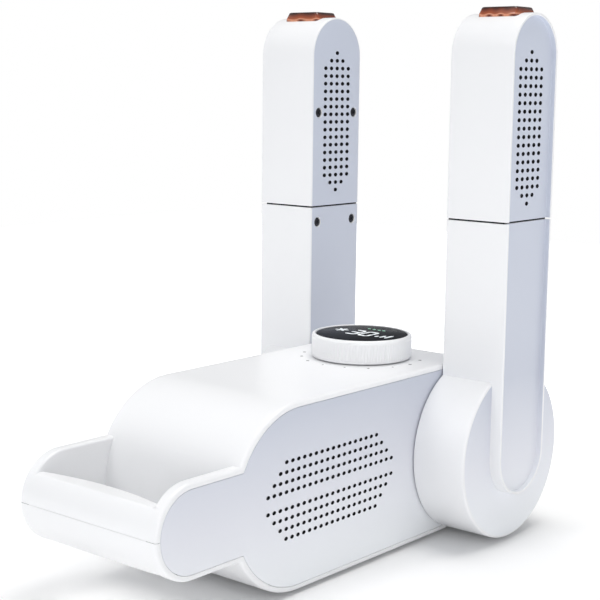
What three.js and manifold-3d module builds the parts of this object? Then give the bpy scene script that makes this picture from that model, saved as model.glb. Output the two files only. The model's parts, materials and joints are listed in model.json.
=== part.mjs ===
// A two-arm boot dryer. A low housing with a carry handle at its nose holds a blower, a heater and a timer knob.
// An arm with a round hinge drum stands at each side of its back end, and each arm's perforated head slides up.
// Millimetres, +Z up, nose towards -Y. The origin is on the floor, under the middle of the housing's length.
import * as THREE from "three";
import { mergeVertices } from "three/addons/utils/BufferGeometryUtils.js";
import Module from "manifold-3d";

const wasm = await Module();
wasm.setup();

// Housing
const MID = 52; // height of the housing's mid plane, where its two shells part
const BODY_R = 50; // the housing is a capsule in side view
const BODY_FRONT = -48.5; // centre of its front arc
const PIVOT = 100; // centre of its back arc, and the arms' hinge line
const NOSE_R = 24; // the nose is a smaller capsule
const NOSE_FRONT = -126; // centre of the nose's front arc
const BODY_X = 48.7; // half the housing's width
const WALL = 2.5;
const RIM = 3; // width of the wrap's edge around each side panel
const PANEL = 2.2; // side panel thickness
const POCKET_X = 46.2; // floor of the pocket that a side panel sits in
const CAVITY_X = 43.6;
const CHEEK_X = 42; // inner face of the nose's side cheeks
const SEAM = 0.15; // half the gap between the upper and lower shell
const GAP = 0.3; // gap between pieces that touch
const FOOT_HEIGHT = 2;

// Handle bar between the cheeks
const BAR_TOP = 15; // above the mid plane
const BAR_BACK = -135; // its back face, at the middle
const BAR_BOW = 7; // how far the ends of that face lie forward of its middle

// Arms
const ARM_X0 = 49.5; // inner face
const DRUM_X1 = 83.2; // outer face of the hinge drum and of the arm's tube
const ARM_X1 = 90; // outer face of the arm's covers
const DRUM_R = 50;
const ARM_R = 23.25; // half the arm's depth
const JOINT = 134; // above the mid plane: where the head meets the base
const JOINT_GAP = 1;
const ARCH = 225; // above the mid plane: centre of the head's round top
const RECESS = 2.8; // depth of the covers' sunk field
const FIELD_RIM = 1.5;
const BASE_SCREW_Z = 124.5; // above the mid plane
const HEAD_SCREW_Z = 191;
const ARM_SCREW_Y = 17; // either side of the arm's centre line

// Sliding sleeve that joins a head to its base
const SLEEVE_Y = 13.4;
const SLEEVE_X = [55, 78];
const SLEEVE_Z = [66, 150];

// Hinge
const SPIGOT_R = 19.7;
const SPIGOT_BORE = 16;
const DRUM_BORE = 20;

// Knob
const KNOB_Y = 65;
const KNOB_R = 29.5;
const KNOB_TOP = 64.2; // above the mid plane
const DISPLAY_R = 26.8;

const WHITE = { color: 0xf1f2f4, roughness: 0.32, metalness: 0 };
const PANEL_GREY = { color: 0xd6d9e2, roughness: 0.5, metalness: 0 };
const DARK = { color: 0x2a2b2e, roughness: 0.4, metalness: 0 };
const RUBBER = { color: 0x303133, roughness: 0.9, metalness: 0 };
const AMBER = { color: 0xb5531c, roughness: 0.2, metalness: 0.2 };
const STEEL = { color: 0x9a9da3, roughness: 0.35, metalness: 1 };
const BOARD_GREEN = { color: 0x1f6b3a, roughness: 0.5, metalness: 0 };
const INNER_PLASTIC = { color: 0x8d9095, roughness: 0.6, metalness: 0 };
const MOTOR_GREY = { color: 0x6f7276, roughness: 0.4, metalness: 0.8 };

// A closed three.js geometry as a solid that can be joined and cut.
function solid(geometry) {
  const bare = geometry.index ? geometry.toNonIndexed() : geometry.clone();
  bare.deleteAttribute("normal");
  bare.deleteAttribute("uv");
  const merged = mergeVertices(bare, 1e-4);
  return new wasm.Manifold(
    new wasm.Mesh({
      numProp: 3,
      vertProperties: merged.attributes.position.array,
      triVerts: new Uint32Array(merged.index.array),
    }),
  );
}

// A shape drawn in (y, z), extruded from x0 to x1, given in either order.
const SIDEWAYS = new THREE.Matrix4().makeBasis(
  new THREE.Vector3(0, 1, 0),
  new THREE.Vector3(0, 0, 1),
  new THREE.Vector3(1, 0, 0),
);
function alongX(shape, x0, x1, curveSegments = 12) {
  const low = Math.min(x0, x1);
  const depth = Math.abs(x1 - x0);
  const geometry = new THREE.ExtrudeGeometry(shape, { depth, bevelEnabled: false, curveSegments });
  return solid(geometry.applyMatrix4(SIDEWAYS).translate(low, 0, 0));
}

// A shape drawn in (x, y), extruded from z0 up to z1.
function upward(shape, z0, z1, curveSegments = 12) {
  const geometry = new THREE.ExtrudeGeometry(shape, { depth: z1 - z0, bevelEnabled: false, curveSegments });
  return solid(geometry.translate(0, 0, z0));
}

function disc(u, v, radius) {
  const shape = new THREE.Shape();
  shape.absarc(u, v, radius, 0, 2 * Math.PI, false);
  return shape;
}

function capsule(u0, v0, u1, v1, radius) {
  const along = Math.atan2(v1 - v0, u1 - u0);
  const shape = new THREE.Shape();
  shape.absarc(u0, v0, radius, along + Math.PI / 2, along + 1.5 * Math.PI, false);
  shape.absarc(u1, v1, radius, along - Math.PI / 2, along + Math.PI / 2, false);
  return shape;
}

function box(x0, x1, y0, y1, z0, z1) {
  const geometry = new THREE.BoxGeometry(Math.abs(x1 - x0), y1 - y0, z1 - z0);
  return solid(geometry.translate((x0 + x1) / 2, (y0 + y1) / 2, (z0 + z1) / 2));
}

const rodX = (y, z, radius, x0, x1, segments = 12) => alongX(disc(y, z, radius), x0, x1, segments);
const rodZ = (x, y, radius, z0, z1, segments = 12) => upward(disc(x, y, radius), z0, z1, segments);
const tubeX = (y, z, outer, inner, x0, x1) => rodX(y, z, outer, x0, x1).subtract(rodX(y, z, inner, -200, 200));
const tubeZ = (x, y, outer, inner, z0, z1) => rodZ(x, y, outer, z0, z1).subtract(rodZ(x, y, inner, -200, 200));

function joined(solids) {
  return solids.reduce((sum, next) => sum.add(next));
}

const object = new THREE.Group();

function place(name, body, look) {
  const mesh = body.getMesh();
  const geometry = new THREE.BufferGeometry();
  geometry.setAttribute("position", new THREE.BufferAttribute(new Float32Array(mesh.vertProperties), 3));
  geometry.setIndex(new THREE.BufferAttribute(new Uint32Array(mesh.triVerts), 1));
  const faceted = geometry.toNonIndexed();
  faceted.computeVertexNormals();
  const part = new THREE.Mesh(faceted, new THREE.MeshStandardMaterial(look));
  part.name = name;
  object.add(part);
}

// ---- Housing

function bodyCapsule(inset, x0, x1) {
  return alongX(capsule(BODY_FRONT, MID, PIVOT, MID, BODY_R - inset), x0, x1, 9);
}
function noseCapsule(inset, x0, x1) {
  return alongX(capsule(NOSE_FRONT, MID, BODY_FRONT, MID, NOSE_R - inset), x0, x1, 7);
}
const BOSSES = [
  [37, -62],
  [-37, -62],
  [37, 28],
  [-37, 28],
];
const FEET = [
  ["foot_front_right", 34, -38],
  ["foot_front_left", -34, -38],
  ["foot_back_right", 34, 91],
  ["foot_back_left", -34, 91],
];
const FOOT_R = 6.7;

// The handle bar, with its surfaces moved inwards by inset. Its back face is bowed towards the hand.
function handleBar(inset) {
  const half = CHEEK_X + 0.5 - inset;
  const bowRadius = (CHEEK_X ** 2 + BAR_BOW ** 2) / (2 * BAR_BOW);
  const bowCentre = BAR_BACK - bowRadius;
  const reach = Math.asin(half / bowRadius);
  const plan = new THREE.Shape();
  plan.moveTo(-half, NOSE_FRONT - NOSE_R - 1);
  plan.lineTo(half, NOSE_FRONT - NOSE_R - 1);
  plan.absarc(0, bowCentre, bowRadius - inset, Math.PI / 2 - reach, Math.PI / 2 + reach, false);
  const grip = upward(plan, MID - NOSE_R, MID + BAR_TOP - inset, 5);
  return rodX(NOSE_FRONT, MID, NOSE_R - inset, -half, half, 14).intersect(grip);
}

function housingOutside() {
  const cheeks = [1, -1].map((side) => {
    const cheek = noseCapsule(0, side * CHEEK_X, side * BODY_X);
    return cheek.subtract(rodX(BODY_FRONT, MID, BODY_R - 1, side * CHEEK_X, side * CAVITY_X));
  });
  return joined([bodyCapsule(0, -BODY_X, BODY_X), ...cheeks, handleBar(0)]);
}

function housingHollows() {
  const sides = [1, -1].flatMap((side) => [
    bodyCapsule(RIM, side * POCKET_X, side * (BODY_X + 1)),
    noseCapsule(RIM, side * POCKET_X, side * (BODY_X + 1)),
    alongX(capsule(-55, MID, 13, MID, 20), side * (CAVITY_X - 1), side * (POCKET_X + 1), 6),
    rodX(PIVOT, MID, SPIGOT_R + GAP, side * (CAVITY_X - 1), side * (POCKET_X + 1)),
  ]);
  return joined([bodyCapsule(WALL, -CAVITY_X, CAVITY_X), handleBar(WALL), ...sides]);
}

function makeShells() {
  const shell = housingOutside().subtract(housingHollows());
  const above = box(-100, 100, -200, 200, MID + SEAM, MID + 100);
  const below = box(-100, 100, -200, 200, MID - 100, MID - SEAM);

  const bossBottom = MID - 33.7;
  const posts = BOSSES.map(([x, y]) => rodZ(x, y, 4, bossBottom, MID + BODY_R, 6));
  const pilots = BOSSES.map(([x, y]) => rodZ(x, y, 1.5, bossBottom - 1, bossBottom + 12, 4));
  const withinShell = bodyCapsule(1, -BODY_X, BODY_X);
  const bosses = joined(posts).subtract(joined(pilots)).intersect(withinShell);
  const knobHole = rodZ(0, KNOB_Y, SPIGOT_R + GAP, MID + 40, MID + 60);
  place("upper_shell", shell.intersect(above).add(bosses).subtract(knobHole), WHITE);

  const seats = joined(BOSSES.map(([x, y]) => rodZ(x, y, 5.5, MID - BODY_R, MID - 34, 6)));
  const screwHoles = BOSSES.map(([x, y]) =>
    rodZ(x, y, 2, MID - 60, MID, 5).add(rodZ(x, y, 3.6, MID - 60, MID - 38, 5)),
  );
  const footSeats = FEET.map(([, x, y]) => rodZ(x, y, FOOT_R + GAP, MID - 60, MID - 48.5, 8));
  const inletHole = box(-13.2, 13.2, PIVOT + 35, PIVOT + 51, MID - 24, MID - 8);
  const lower = shell.intersect(below).add(seats.intersect(withinShell));
  place("lower_shell", lower.subtract(joined([...screwHoles, ...footSeats, inletHole])), WHITE);
}

function makeSidePanel(name, side) {
  const fit = RIM + GAP;
  const from = side * (BODY_X - PANEL);
  const plate = bodyCapsule(fit, from, side * BODY_X).add(noseCapsule(fit, from, side * BODY_X));
  place(name, plate.subtract(rodX(PIVOT, MID, SPIGOT_R + 1.3, -100, 100)), PANEL_GREY);
}

function makeFeetAndScrews() {
  FEET.forEach(([name, x, y]) => {
    const foot = rodZ(x, y, FOOT_R - 0.7, 0, FOOT_HEIGHT, 8).add(
      rodZ(x, y, FOOT_R, FOOT_HEIGHT - 1, FOOT_HEIGHT + 1.2, 8),
    );
    place(name, foot, RUBBER);
  });
  BOSSES.forEach(([x, y], i) => {
    const screw = rodZ(x, y, 3.2, MID - 40.6, MID - 38.3, 5).add(rodZ(x, y, 1.2, MID - 39, MID - 24, 4));
    place(`case_screw_${i + 1}`, screw, STEEL);
  });
}

// ---- Air path and electrics

const FAN_Y = -21; // blower axis, which lies along X at the mid plane
const FAN_R = 38;
const DUCT = { x: 24, z0: -38, z1: -6, front: 22 }; // outlet duct, heights from the mid plane

function makeBlower() {
  const duct = (inset, length) =>
    box(inset - DUCT.x, DUCT.x - inset, FAN_Y, length, MID + DUCT.z0 + inset, MID + DUCT.z1 - inset);
  const scroll = rodX(FAN_Y, MID, FAN_R, -DUCT.x, DUCT.x, 16).add(duct(0, DUCT.front));
  const hollow = rodX(FAN_Y, MID, FAN_R - 2, 2 - DUCT.x, DUCT.x - 2, 16).add(duct(2, DUCT.front + 5));
  const intakes = rodX(FAN_Y, MID, 24, -DUCT.x - 1, DUCT.x + 1);
  place("blower_housing", scroll.subtract(hollow).subtract(intakes), INNER_PLASTIC);

  place("blower_motor", rodX(FAN_Y, MID, 14, -24, 6), MOTOR_GREY);
  place("motor_bracket", box(-27, -24.4, FAN_Y - 30, FAN_Y + 30, MID - 6, MID + 6), STEEL);
  place("motor_shaft", rodX(FAN_Y, MID, 1.5, 6.3, 18, 4), STEEL);

  const blades = [];
  const bladeCount = 14;
  for (let i = 0; i < bladeCount; i++) {
    const blade = new THREE.BoxGeometry(30, 6, 1.2);
    blade.translate(-3, 29, 0).rotateX((i * 2 * Math.PI) / bladeCount).translate(0, FAN_Y, MID);
    blades.push(solid(blade));
  }
  const backPlate = rodX(FAN_Y, MID, 32, 11, 13, 16);
  const endRing = tubeX(FAN_Y, MID, 32, 27, -18, -16);
  const hub = rodX(FAN_Y, MID, 5, 10, 17, 6).add(backPlate).subtract(rodX(FAN_Y, MID, 1.8, 0, 30, 6));
  place("blower_impeller", joined([hub, endRing, ...blades]), DARK);
}

function makeHeater() {
  const front = DUCT.front + GAP;
  const back = front + 16;
  const frame = box(-DUCT.x, DUCT.x, front, back, MID + DUCT.z0, MID + DUCT.z1);
  const opening = box(2 - DUCT.x, DUCT.x - 2, front - 1, back + 1, MID + DUCT.z0 + 2, MID + DUCT.z1 - 2);
  place("heater_frame", frame.subtract(opening), INNER_PLASTIC);

  let element = box(-21.7, 21.7, front + 2, back - 2, MID + DUCT.z0 + 2.3, MID + DUCT.z1 - 2.3);
  for (let i = -2; i <= 2; i++) {
    const slot = box(8 * i - 2.8, 8 * i + 2.8, front, back, MID + DUCT.z0 + 5, MID + DUCT.z1 - 5);
    element = element.subtract(slot);
  }
  place("heater_element", element, STEEL);
}

// The duct that turns the warm air out to both hinges.
function makeManifold() {
  const outline = (inset, front) => {
    const shape = new THREE.Shape();
    shape.moveTo(front, MID + DUCT.z0 + inset);
    shape.lineTo(120 - inset, MID + DUCT.z0 + inset);
    shape.lineTo(126 - inset, MID - 20);
    shape.lineTo(126 - inset, MID + 14);
    shape.lineTo(118, MID + 22 - inset);
    shape.lineTo(78, MID + 22 - inset);
    shape.lineTo(62, MID + DUCT.z1 - inset);
    shape.lineTo(front, MID + DUCT.z1 - inset);
    return shape;
  };
  const front = DUCT.front + 16 + 2 * GAP;
  const outside = alongX(outline(0, front), -40, 40);
  const inside = alongX(outline(2, front - 5), -38, 38);
  const ports = rodX(PIVOT, MID, SPIGOT_BORE, -50, 50);
  place("air_manifold", outside.subtract(inside).subtract(ports), INNER_PLASTIC);
}

function makeControlBoard() {
  const top = MID + 27.6;
  place(
    "control_board",
    joined([
      box(-32, 32, 24, 96, MID + 26, top),
      box(-30, -12, 24.5, 38, top - 0.1, top + 13),
      box(12, 28, 25, 35, top - 0.1, top + 11),
      box(-8, 6, 26, 36, top - 0.1, top + 9),
    ]),
    BOARD_GREEN,
  );
}

function makeInlet() {
  const face = PIVOT + 43.5;
  const block = box(-12.9, 12.9, PIVOT + 30, face, MID - 23.7, MID - 8.3);
  const flange = box(-16, 16, PIVOT + 30, PIVOT + 33, MID - 27, MID - 5);
  const socket = upward(capsule(-4.5, 0, 4.5, 0, 4), 0, 11, 6);
  const turned = new THREE.Matrix4().makeRotationX(Math.PI / 2).setPosition(0, face + 1, MID - 16);
  const cut = socket.transform(turned.elements);
  const pins = [-4.3, 4.3].map((x) => {
    const pin = new THREE.CylinderGeometry(1.2, 1.2, 10, 8);
    return solid(pin.translate(x, face - 6.5, MID - 16));
  });
  place("mains_inlet", joined([block.add(flange).subtract(cut), ...pins]), DARK);
}

// ---- Knob and display

function makeKnob() {
  const carrier = tubeZ(0, KNOB_Y, SPIGOT_R, 16.5, MID + 38, MID + 56);
  const flange = tubeZ(0, KNOB_Y, 23, 16.5, MID + 43.5, MID + 47.2);
  place("knob_carrier", carrier.add(flange), INNER_PLASTIC);

  const wall = tubeZ(0, KNOB_Y, KNOB_R, DISPLAY_R + 0.4, MID + 50.6, MID + KNOB_TOP);
  const web = tubeZ(0, KNOB_Y, KNOB_R - 1, SPIGOT_R + 0.4, MID + 50.6, MID + 53);
  place("knob_ring", wall.add(web), WHITE);

  place("display_lens", rodZ(0, KNOB_Y, DISPLAY_R, MID + 61.6, MID + 63.9, 16), DARK);
  const cup = rodZ(0, KNOB_Y, DISPLAY_R - GAP, MID + 57.2, MID + 61.3, 16);
  place("display_carrier", cup.add(rodZ(0, KNOB_Y, 16, MID + 44, MID + 58)), INNER_PLASTIC);

  place("button_spring", tubeZ(0, KNOB_Y, 13, 10.5, MID + 36, MID + 43), STEEL);
  const board = box(-20, 20, KNOB_Y - 18, KNOB_Y + 18, MID + 34, MID + 35.6);
  const key = box(-3, 3, KNOB_Y - 3, KNOB_Y + 3, MID + 35, MID + 42.6);
  place("display_board", board.add(key), BOARD_GREEN);
}

// ---- Arms

// A whole arm's side view, from below the hinge line to over the top, moved inwards by inset.
function armCapsule(inset, x0, x1) {
  return alongX(capsule(PIVOT, MID, PIVOT, MID + ARCH, ARM_R - inset), x0, x1, 7);
}
const belowJoint = box(-100, 100, 0, 200, -50, MID + JOINT - JOINT_GAP / 2);
const aboveJoint = box(-100, 100, 0, 200, MID + JOINT + JOINT_GAP / 2, MID + 300);

// Screws enter the inner face, and run into posts on the outer cover.
const screwSpots = (z) => [1, -1].map((end) => [PIVOT + end * ARM_SCREW_Y, MID + z]);
function screwHoles(side, z) {
  return joined(
    screwSpots(z).map(([y, at]) =>
      rodX(y, at, 1.6, side * 40, side * 60, 4).add(rodX(y, at, 3.1, side * 40, side * (ARM_X0 + 1.3), 5)),
    ),
  );
}

function makeArmScrews(prefix, side, z) {
  screwSpots(z).forEach(([y, at], i) => {
    const head = rodX(y, at, 2.8, side * (ARM_X0 + 0.1), side * (ARM_X0 + 1), 5);
    const shank = rodX(y, at, 1.2, side * (ARM_X0 + 0.5), side * 64, 4);
    place(`${prefix}_screw_${i + 1}`, head.add(shank), STEEL);
  });
}

function makeCover(name, side, part, screwZ) {
  const slab = armCapsule(0, side * (DRUM_X1 + GAP), side * ARM_X1).intersect(part);
  const floor = ARM_X1 - RECESS;
  const field = armCapsule(FIELD_RIM, side * floor, side * (ARM_X1 + 1));
  const back = armCapsule(WALL, side * DRUM_X1, side * (floor - 2)).intersect(part);
  const posts = screwSpots(screwZ).map(([y, at]) =>
    rodX(y, at, 2.9, side * (ARM_X0 + WALL + GAP), side * (floor - 1), 6),
  );
  const pilots = screwSpots(screwZ).map(([y, at]) => rodX(y, at, 1.5, side * 45, side * 68, 4));
  const cover = slab.subtract(field).subtract(back);
  place(name, joined([cover, ...posts]).subtract(joined(pilots)), PANEL_GREY);
}

function makeArmBase(prefix, side) {
  const drum = rodX(PIVOT, MID, DRUM_R, side * ARM_X0, side * DRUM_X1, 20);
  const tube = armCapsule(0, side * ARM_X0, side * DRUM_X1).intersect(belowJoint);
  const drumHollow = rodX(PIVOT, MID, DRUM_R - WALL, side * (ARM_X0 + 3.5), side * (DRUM_X1 - WALL), 20);
  const tubeHollow = armCapsule(WALL, side * (ARM_X0 + WALL), side * (DRUM_X1 + 1));
  const bore = rodX(PIVOT, MID, DRUM_BORE, side * 40, side * 60);
  const hubWall = rodX(PIVOT, MID, DRUM_BORE + 6, side * ARM_X0, side * (ARM_X0 + 3.5));
  const sealGroove = tubeX(PIVOT, MID, 34, 26, side * 40, side * (ARM_X0 + 1.5));
  const hollows = joined([drumHollow, tubeHollow.subtract(hubWall), bore, sealGroove]);
  const base = drum.add(tube).subtract(hollows).subtract(screwHoles(side, BASE_SCREW_Z));
  place(`${prefix}_arm_base`, base, WHITE);

  makeCover(`${prefix}_arm_base_cover`, side, belowJoint, BASE_SCREW_Z);
  makeArmScrews(`${prefix}_arm_base`, side, BASE_SCREW_Z);
  place(`${prefix}_hinge_seal`, tubeX(PIVOT, MID, 33.7, 26.3, side * 49, side * 50.7), RUBBER);

  const lip = 2 * GAP;
  const collarX = [ARM_X0 + WALL + GAP, DRUM_X1 - GAP];
  const half = ARM_R - WALL - GAP;
  const collar = box(side * collarX[0], side * collarX[1], PIVOT - half, PIVOT + half, MID + 128, MID + JOINT - 1);
  place(`${prefix}_extension_guide`, collar.subtract(sleeveBlock(side, lip / 2)), INNER_PLASTIC);
}

// The sleeve's outline grown by extra, over a long stretch of the arm.
function sleeveBlock(side, extra) {
  const [inner, outer] = SLEEVE_X;
  const half = SLEEVE_Y + extra;
  const x0 = side * (inner - extra);
  const x1 = side * (outer + extra);
  return box(x0, x1, PIVOT - half, PIVOT + half, MID, MID + SLEEVE_Z[1] + 5);
}

function makeArmHead(prefix, side) {
  const outside = armCapsule(0, side * ARM_X0, side * DRUM_X1).intersect(aboveJoint);
  const room = box(-100, 100, 0, 200, MID + JOINT + 3, MID + 300);
  const hollow = armCapsule(WALL, side * (ARM_X0 + WALL), side * (DRUM_X1 + 1)).intersect(room);
  const lensSeat = box(side * 57.7, side * 81.8, PIVOT - 10.3, PIVOT + 10.3, MID + ARCH + 19.7, MID + ARCH + 40);
  const cuts = joined([hollow, lensSeat, sleeveBlock(side, GAP), screwHoles(side, HEAD_SCREW_Z)]);
  place(`${prefix}_arm_head`, outside.subtract(cuts), WHITE);

  makeCover(`${prefix}_arm_head_cover`, side, aboveJoint, HEAD_SCREW_Z);
  makeArmScrews(`${prefix}_arm_head`, side, HEAD_SCREW_Z);

  const [inner, outer] = SLEEVE_X;
  const [z0, z1] = SLEEVE_Z;
  const sleeve = box(side * inner, side * outer, PIVOT - SLEEVE_Y, PIVOT + SLEEVE_Y, MID + z0, MID + z1);
  const duct = box(
    side * (inner + 2),
    side * (outer - 2),
    PIVOT - SLEEVE_Y + 2,
    PIVOT + SLEEVE_Y - 2,
    MID + z0 - 1,
    MID + z1 + 1,
  );
  place(`${prefix}_extension_sleeve`, sleeve.subtract(duct), INNER_PLASTIC);
  place(`${prefix}_lamp_lens`, lampLens(side), AMBER);
  const board = box(side * 60, side * 79.5, PIVOT - 7, PIVOT + 7, MID + ARCH + 14, MID + ARCH + 15.6);
  place(`${prefix}_lamp_board`, board, BOARD_GREEN);
}

// A low block with sloping sides, standing out of the head's round top.
function lampLens(side) {
  const section = new THREE.Shape();
  section.moveTo(58, 20);
  section.lineTo(81.5, 20);
  section.lineTo(81.5, 22.6);
  section.lineTo(79.2, 26.5);
  section.lineTo(60.3, 26.5);
  section.lineTo(58, 22.6);
  const lengthways = new THREE.ExtrudeGeometry(section, { depth: 20, bevelEnabled: false });
  const block = solid(lengthways.rotateX(Math.PI / 2).translate(0, PIVOT + 10, MID + ARCH));
  const slope = new THREE.Shape();
  slope.moveTo(PIVOT - 10, MID + ARCH + 19);
  slope.lineTo(PIVOT + 10, MID + ARCH + 19);
  slope.lineTo(PIVOT + 10, MID + ARCH + 22.6);
  slope.lineTo(PIVOT + 8, MID + ARCH + 26.5);
  slope.lineTo(PIVOT - 8, MID + ARCH + 26.5);
  slope.lineTo(PIVOT - 10, MID + ARCH + 22.6);
  const bevelled = block.intersect(alongX(slope, 0, 100));
  return side > 0 ? bevelled : bevelled.mirror([1, 0, 0]);
}

function makeHinge(prefix, side) {
  const tube = tubeX(PIVOT, MID, SPIGOT_R, SPIGOT_BORE, side * (CAVITY_X - 3), side * 60);
  const flange = tubeX(PIVOT, MID, 24, SPIGOT_BORE, side * (CAVITY_X - 3), side * (CAVITY_X - GAP));
  place(`${prefix}_hinge_spigot`, tube.add(flange), INNER_PLASTIC);
  place(`${prefix}_hinge_retainer`, tubeX(PIVOT, MID, 25, 20, side * 53.5, side * 56), STEEL);
}

makeShells();
makeSidePanel("right_side_panel", 1);
makeSidePanel("left_side_panel", -1);
makeFeetAndScrews();
makeBlower();
makeHeater();
makeManifold();
makeControlBoard();
makeInlet();
makeKnob();
for (const [prefix, side] of [
  ["right", 1],
  ["left", -1],
]) {
  makeHinge(prefix, side);
  makeArmBase(prefix, side);
  makeArmHead(prefix, side);
}

export default object;
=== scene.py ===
"""A white two-arm boot dryer in a plain pale studio, drawn in millimetres and made in metres."""

import json
from math import acos, asin, atan2, cos, degrees, pi, radians, sin, sqrt

import bmesh
import bpy
from mathutils import Matrix, Vector
from mathutils.geometry import delaunay_2d_cdt


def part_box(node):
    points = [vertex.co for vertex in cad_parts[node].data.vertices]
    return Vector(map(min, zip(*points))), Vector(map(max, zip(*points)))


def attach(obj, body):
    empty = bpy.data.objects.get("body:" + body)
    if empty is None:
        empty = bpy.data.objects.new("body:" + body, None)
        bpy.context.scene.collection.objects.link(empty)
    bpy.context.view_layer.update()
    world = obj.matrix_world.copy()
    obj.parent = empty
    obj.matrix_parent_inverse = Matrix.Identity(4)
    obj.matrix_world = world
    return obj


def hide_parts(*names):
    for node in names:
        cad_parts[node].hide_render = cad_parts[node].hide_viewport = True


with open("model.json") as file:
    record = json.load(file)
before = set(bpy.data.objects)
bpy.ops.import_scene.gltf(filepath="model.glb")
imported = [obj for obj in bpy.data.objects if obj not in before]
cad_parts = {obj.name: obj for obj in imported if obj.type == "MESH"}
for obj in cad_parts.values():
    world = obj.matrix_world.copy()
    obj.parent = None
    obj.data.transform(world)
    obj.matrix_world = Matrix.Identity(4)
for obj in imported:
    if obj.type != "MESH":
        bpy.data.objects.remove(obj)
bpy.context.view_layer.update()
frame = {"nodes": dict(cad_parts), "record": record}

MM = 0.001
AXIS = 0.01  # radius at which a turned profile ends at its axis
MID = 52.0  # height of the housing's mid plane
PIVOT = 100.0  # y of the arms' hinge line

# Housing: heights are from the mid plane, places along y, half widths along x
BODY_R = 50.0
BODY_FRONT = -48.5  # centre of the body's front arc
NOSE_R = 24.0
NOSE_FRONT = -126.0  # centre of the nose's front arc
BODY_X = 48.7
HOUSING_WALL = 2.3
FILLET = 1.8  # rounding of the housing's side edges
RIM = 3.0  # from the housing's outline to its side panel
RIM_ROUND = 0.2
POCKET_X = 46.2  # floor of the pocket that a side panel sits in
PANEL_GAP = 0.14
PANEL_ROUND = 0.3
PANEL_WALL = 1.6
CHEEK_X = 42.0  # inner faces of the nose's cheeks
CHEEK_ROUND = 1.4
SEAM = 0.08  # half the gap between the upper and lower shell
BAR_TOP = 15.0
BAR_BACK = -135.0
BAR_BOW = 5.0
INLET_X = 13.2
INLET_TOP = 8.0  # below the mid plane
INLET_BOTTOM = 24.0

# Arms: heights are from the mid plane
ARM_X0 = 49.5  # inner face
DRUM_X1 = 83.2  # outer face of the drum, where the covers start
ARM_X1 = 90.0  # outer face of the covers
DRUM_R = 50.0
DRUM_ROUND = 1.4
DRUM_BORE = 20.2
ARM_R = 23.25  # half the arm's depth
ARM_ROUND = 1.0
BASE_WALL = 2.2
HEAD_WALL = 2.0
COVER_WALL = 1.2
COVER_ROUND = 0.5
JOINT = 134.0
JOINT_GAP = 1.0
JOINT_LOW = JOINT - JOINT_GAP / 2
JOINT_HIGH = JOINT + JOINT_GAP / 2
ARCH = 225.0  # centre of the head's round top
RECESS = 2.8  # depth of the covers' sunk field
FIELD_RIM = 1.5
BASE_SCREW_Z = 124.5
HEAD_SCREW_Z = 191.0
ARM_SCREW_Y = 17.0  # either side of the arm's middle
SCREW_SEAT_R = 2.95
LENS_X0 = 57.6
LENS_X1 = 83.0
LENS_HALF_Y = 10.0
LENS_TOP = 26.5  # above the arch's centre

# Sleeve that slides in the base as a head is pulled out, and the step that closes the joint's gap
SLEEVE_X = (55.0, 78.0)
SLEEVE_Y = 13.4
TONGUE = 0.9

# Dial: heights are from the mid plane
KNOB_Y = 65.0
RIB_DEPTH = 0.4
KNOB_SHARP = 60  # degrees, so that the ribs stay smooth
DISPLAY_TOP = 63.9
MARK_HEIGHT = 0.06
STROKE = 0.95  # half the width of a digit's strokes

# Half sizes of the side panels' oval air holes, and how much larger those of the heads are
HOLE_Y = 1.45
HOLE_Z = 1.05
HEAD_HOLE = 1.14


# ---- Camera, lights and floor


def make_camera():
    azimuth, elevation, roll = radians(40.015), radians(8.859), radians(0.673)
    place = (0.49105, -0.5767, 0.2609)
    forward = Vector((-sin(azimuth) * cos(elevation), cos(azimuth) * cos(elevation), -sin(elevation)))
    level_right = forward.cross(Vector((0, 0, 1))).normalized()
    level_up = level_right.cross(forward)
    right = level_right * cos(roll) + level_up * sin(roll)
    up = level_up * cos(roll) - level_right * sin(roll)
    camera = bpy.data.objects.new("camera", bpy.data.cameras.new("camera"))
    camera.data.sensor_width = 36
    camera.data.lens = 83.7
    turn = Matrix((right, up, -forward)).transposed().to_4x4()
    camera.matrix_world = Matrix.Translation(place) @ turn
    bpy.context.collection.objects.link(camera)
    bpy.context.scene.camera = camera


def add_lamp(name, kind, place, aim, watts):
    lamp = bpy.data.objects.new(name, bpy.data.lights.new(name, kind))
    lamp.data.energy = watts
    lamp.location = place
    lamp.rotation_mode = "QUATERNION"
    lamp.rotation_quaternion = (Vector(aim) - Vector(place)).to_track_quat("-Z", "Y")
    bpy.context.collection.objects.link(lamp)
    return lamp.data


def area_light(name, place, size, watts, colour):
    """A round soft box aimed at the object's middle."""
    light = add_lamp(name, "AREA", place, (0, 0, 0.1), watts)
    light.shape = "DISK"
    light.size = size
    light.color = colour


def spot_light(name, place, aim, cone, watts):
    """A soft-edged pool of light, cone degrees across."""
    light = add_lamp(name, "SPOT", place, aim, watts)
    light.spot_size = radians(cone)
    light.spot_blend = 1.0
    light.shadow_soft_size = 0.3


def studio_world():
    """A soft pale surround, plain white where it is seen directly."""
    world = bpy.data.worlds.new("studio")
    world.use_nodes = True
    nodes = world.node_tree.nodes
    links = world.node_tree.links
    soft = nodes["Background"]
    soft.inputs["Color"].default_value = (0.93, 0.96, 1.0, 1)
    soft.inputs["Strength"].default_value = 0.37
    white = nodes.new("ShaderNodeBackground")
    white.inputs["Color"].default_value = (1, 1, 1, 1)
    choice = nodes.new("ShaderNodeMixShader")
    links.new(nodes.new("ShaderNodeLightPath").outputs["Is Camera Ray"], choice.inputs["Fac"])
    links.new(soft.outputs["Background"], choice.inputs[1])
    links.new(white.outputs["Background"], choice.inputs[2])
    links.new(choice.outputs["Shader"], nodes["World Output"].inputs["Surface"])
    return world


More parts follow.
